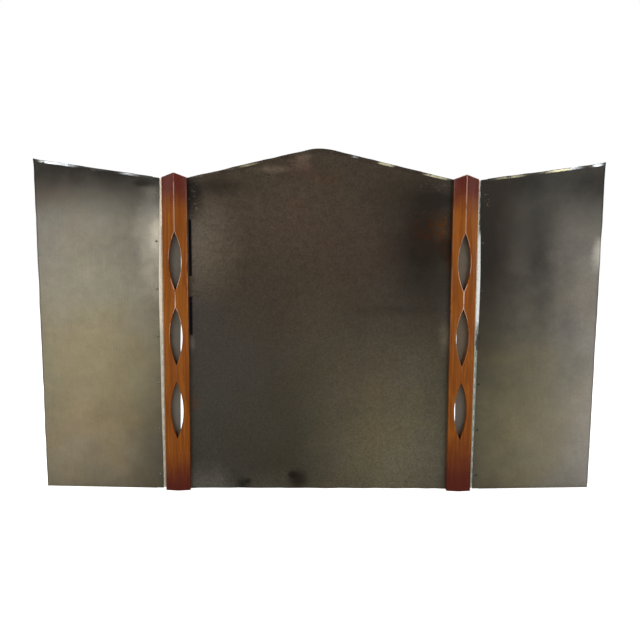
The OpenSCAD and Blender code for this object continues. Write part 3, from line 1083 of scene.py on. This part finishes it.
def oldSteel(name, clean, stained):
    finish, shader, coords = startMaterial(name)
    old = useGroup(patina, Vector=coords, Coarse=60.0, Fine=500.0)
    drawn = useGroup(brushing, Vector=coords, Along=60.0, Across=1400.0)
    pits = useGroup(specks, Vector=coords, Scale=700.0, Cover=0.7)["Mask"]
    colour = stain(blendColour(old["Blotch"], clean, stained), pits, 0.7, rustSpots)
    rough = scaleAdd(old["Mottle"], 0.3, 0.28)
    height = scaleAdd(pits, -1.0, drawn["Lines"])
    endMaterial(shader, colour, rough, 0.85, height, 0.4, 0.08 * mm)
    return finish


def domeUp(piece, height, radius, top):    # insets and lifts the face at one end into a low dome
    pick(piece, "FACE", lambda face: abs(face.normal.z - top) < 0.01)
    before = 0.0
    for step in (1, 2, 3):
        rise = height * math.sin(math.radians(22 * step + 14))
        bpy.ops.mesh.inset(thickness=radius * 0.22)
        bpy.ops.transform.translate(value=(0, 0, top * (rise - before)))
        before = rise


def startHead(name, radius, height):    # a head on the origin, its dome up along Z
    brim = fastenerShape["brim"]
    bpy.ops.mesh.primitive_cylinder_add(vertices=fastenerShape["facets"], radius=radius, depth=brim,
                                        location=(0, 0, brim / 2))
    piece = nameNew(name)
    openUp(piece)
    domeUp(piece, height, radius, 1)
    pick(piece, "FACE", lambda face: face.normal.z < -0.99)
    bpy.ops.mesh.inset(thickness=radius - fastenerShape["shankRadius"])
    return piece


def drawDown(length):
    bpy.ops.mesh.extrude_region_move(TRANSFORM_OT_translate={"value": (0, 0, -length)})


def makeScrew():
    shape = fastenerShape
    height, width = shape["headHeight"], 4 * shape["headRadius"]
    screw = startHead("screw", shape["headRadius"], height)
    drawDown(shape["shankLength"] - shape["pointLength"])
    drawDown(shape["pointLength"])
    bpy.ops.transform.resize(value=(0.25, 0.25, 1))
    closeUp()
    half = Vector((width, shape["slot"], height)) / 2
    slotAt = Vector((0, 0, height))
    cutAway(screw, sawBlock("slotCutter", slotAt - half, slotAt + half))
    softenEdges(screw, 0.1 * mm, 1, 50)
    return screw


def makeRivet():    # with a clenched tail below the grip
    shape = fastenerShape
    flare = shape["tailRadius"] / shape["shankRadius"]
    rivet = startHead("rivet", shape["rivetRadius"], shape["rivetHeight"])
    drawDown(shape["grip"])
    drawDown(0)
    bpy.ops.transform.resize(value=(flare, flare, 1))
    drawDown(shape["tailHeight"] * 0.4)
    domeUp(rivet, shape["tailHeight"] * 0.6, shape["tailRadius"], -1)
    closeUp()
    return rivet


def setRow(name, master, node, reach, standAt):    # copies of one fastener, up a post or a wing
    low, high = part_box(node)
    first, last = low.z + reach, high.z - reach
    gaps = fastenerShape["count"] - 1
    row = []
    for index in range(gaps + 1):
        z = first + index * (last - first) / gaps
        row.append(copyOf(master, node + str(index), standAt(index, z)))
    bpy.data.objects.remove(master)
    return joinAll(name, row)


def quarterTurn(x, y, z, degrees):    # puts a fastener where its head faces out
    return Matrix.Translation((x, y, z)) @ Matrix.Rotation(math.radians(degrees), 4, "X")


def makeScrews(side, row, finish):
    node = side + "_" + row + "_screws"
    low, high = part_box(node)
    x, seat = (low.x + high.x) / 2, high.y - fastenerShape["headHeight"]
    standAt = lambda index, z: (quarterTurn(x, seat, z, -90)
                                @ Matrix.Rotation(math.radians(37 * index + 20), 4, "Z"))
    piece = setRow(side + row.title() + "Screws", makeScrew(), node, fastenerShape["headRadius"], standAt)
    smoothOver(piece, 35)
    dress(piece, finish)
    place(piece, "stand", node)


def makeRivets(side, finish):
    node, body = side + "_wing_rivets", side + "_wing"
    x = axes[body].x + sides[side] * fastenerShape["rivetInset"]
    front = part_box("centre_sheet")[0].y
    piece = setRow(side + "WingRivets", makeRivet(), node, fastenerShape["rivetRadius"],
                   lambda index, z: quarterTurn(x, front, z, 90))
    moveBy(piece, foldBy(side))
    smoothOver(piece, 35)
    dress(piece, finish)
    place(piece, body, node)


screwSteel = oldSteel("screwSteel", (0.30, 0.27, 0.22), (0.16, 0.12, 0.09))
rivetSteel = {
    "left": oldSteel("leftRivetSteel", (0.18, 0.165, 0.135), (0.13, 0.12, 0.095)),
    "right": oldSteel("rightRivetSteel", (0.06, 0.054, 0.045), (0.035, 0.03, 0.025)),
}
pinSteel = oldSteel("pinSteel", (0.34, 0.31, 0.26), (0.18, 0.14, 0.10))
for side in sides:
    makeScrews(side, "leaf", screwSteel)
    makeScrews(side, "sheet", screwSteel)
    makeRivets(side, rivetSteel[side])
    dress(frame["nodes"][side + "_hinge_pin"], pinSteel)
    dress(frame["nodes"][side + "_post_dowels"], woodFinishes[side][0])
print("fasteners are set")


# floor, light and camera

studio = {
    "floorSize": 14.0,
    "floorTone": (0.86, 0.86, 0.86),
    "floorRoughness": 0.9,
    "floorGlow": 0.75,
    "ambient": (0.42, 0.42, 0.43),
    "cameraAt": (-0.020, -1.937, 0.647),
    "cameraTurn": (82.76, -0.367, -0.575),
    "lens": 47.8,
    "sensor": 36,
    "aim": (0, 0, 0.4),
    "lamps": [    # name, place, size, watts, colour
        ("keyLamp", (-2.0, -2.6, 2.0), 1.8, 58, (1.0, 0.98, 0.95)),
        ("fillLamp", (2.0, -2.6, 1.6), 1.8, 46, (0.98, 0.99, 1.0)),
        ("backLamp", (0.4, 2.4, 2.2), 1.6, 40, (1.0, 1.0, 1.0)),
    ],
}


def makeFloor():
    bpy.ops.mesh.primitive_plane_add(size=studio["floorSize"], location=(0, 0, 0))
    floor = nameNew("floor")
    finish, shader, coords = startMaterial("paleFloor")
    shader.inputs["Base Color"].default_value = (*studio["floorTone"], 1)
    shader.inputs["Roughness"].default_value = studio["floorRoughness"]
    shader.inputs["Emission Color"].default_value = (1, 1, 1, 1)
    seen = addNode("LightPath")["Is Camera Ray"]
    feed(shader.inputs["Emission Strength"], times(seen, studio["floorGlow"]))
    dress(floor, finish)


def makeWorld():
    world = bpy.data.worlds.new("studioWorld")
    bpy.context.scene.world = world
    world.use_nodes = True
    world.node_tree.nodes.clear()
    wired["tree"] = world.node_tree
    room = addNode("Background", (*studio["ambient"], 1))[0]
    backdrop = addNode("Background", (1, 1, 1, 1))[0]
    seen = addNode("LightPath")["Is Camera Ray"]
    addNode("OutputWorld", addNode("MixShader", seen, room, backdrop)[0])


def setUp(name, data, spot, turn):
    holder = bpy.data.objects.new(name, data)
    holder.location = spot
    holder.rotation_euler = turn
    bpy.context.scene.collection.objects.link(holder)
    return holder


def makeLamps():
    aim = Vector(studio["aim"])
    for name, spot, size, watts, colour in studio["lamps"]:
        lamp = bpy.data.lights.new(name, "AREA")
        lamp.size = size
        lamp.energy = watts
        lamp.color = colour
        setUp(name, lamp, spot, (aim - Vector(spot)).to_track_quat("-Z", "Y").to_euler())


def makeCamera():
    camera = bpy.data.cameras.new("camera")
    camera.lens = studio["lens"]
    camera.sensor_width = studio["sensor"]
    turn = [math.radians(angle) for angle in studio["cameraTurn"]]
    bpy.context.scene.camera = setUp("camera", camera, studio["cameraAt"], turn)


bpy.context.scene.view_settings.view_transform = "Standard"
makeFloor()
makeWorld()
makeLamps()
makeCamera()
print("studio is set")
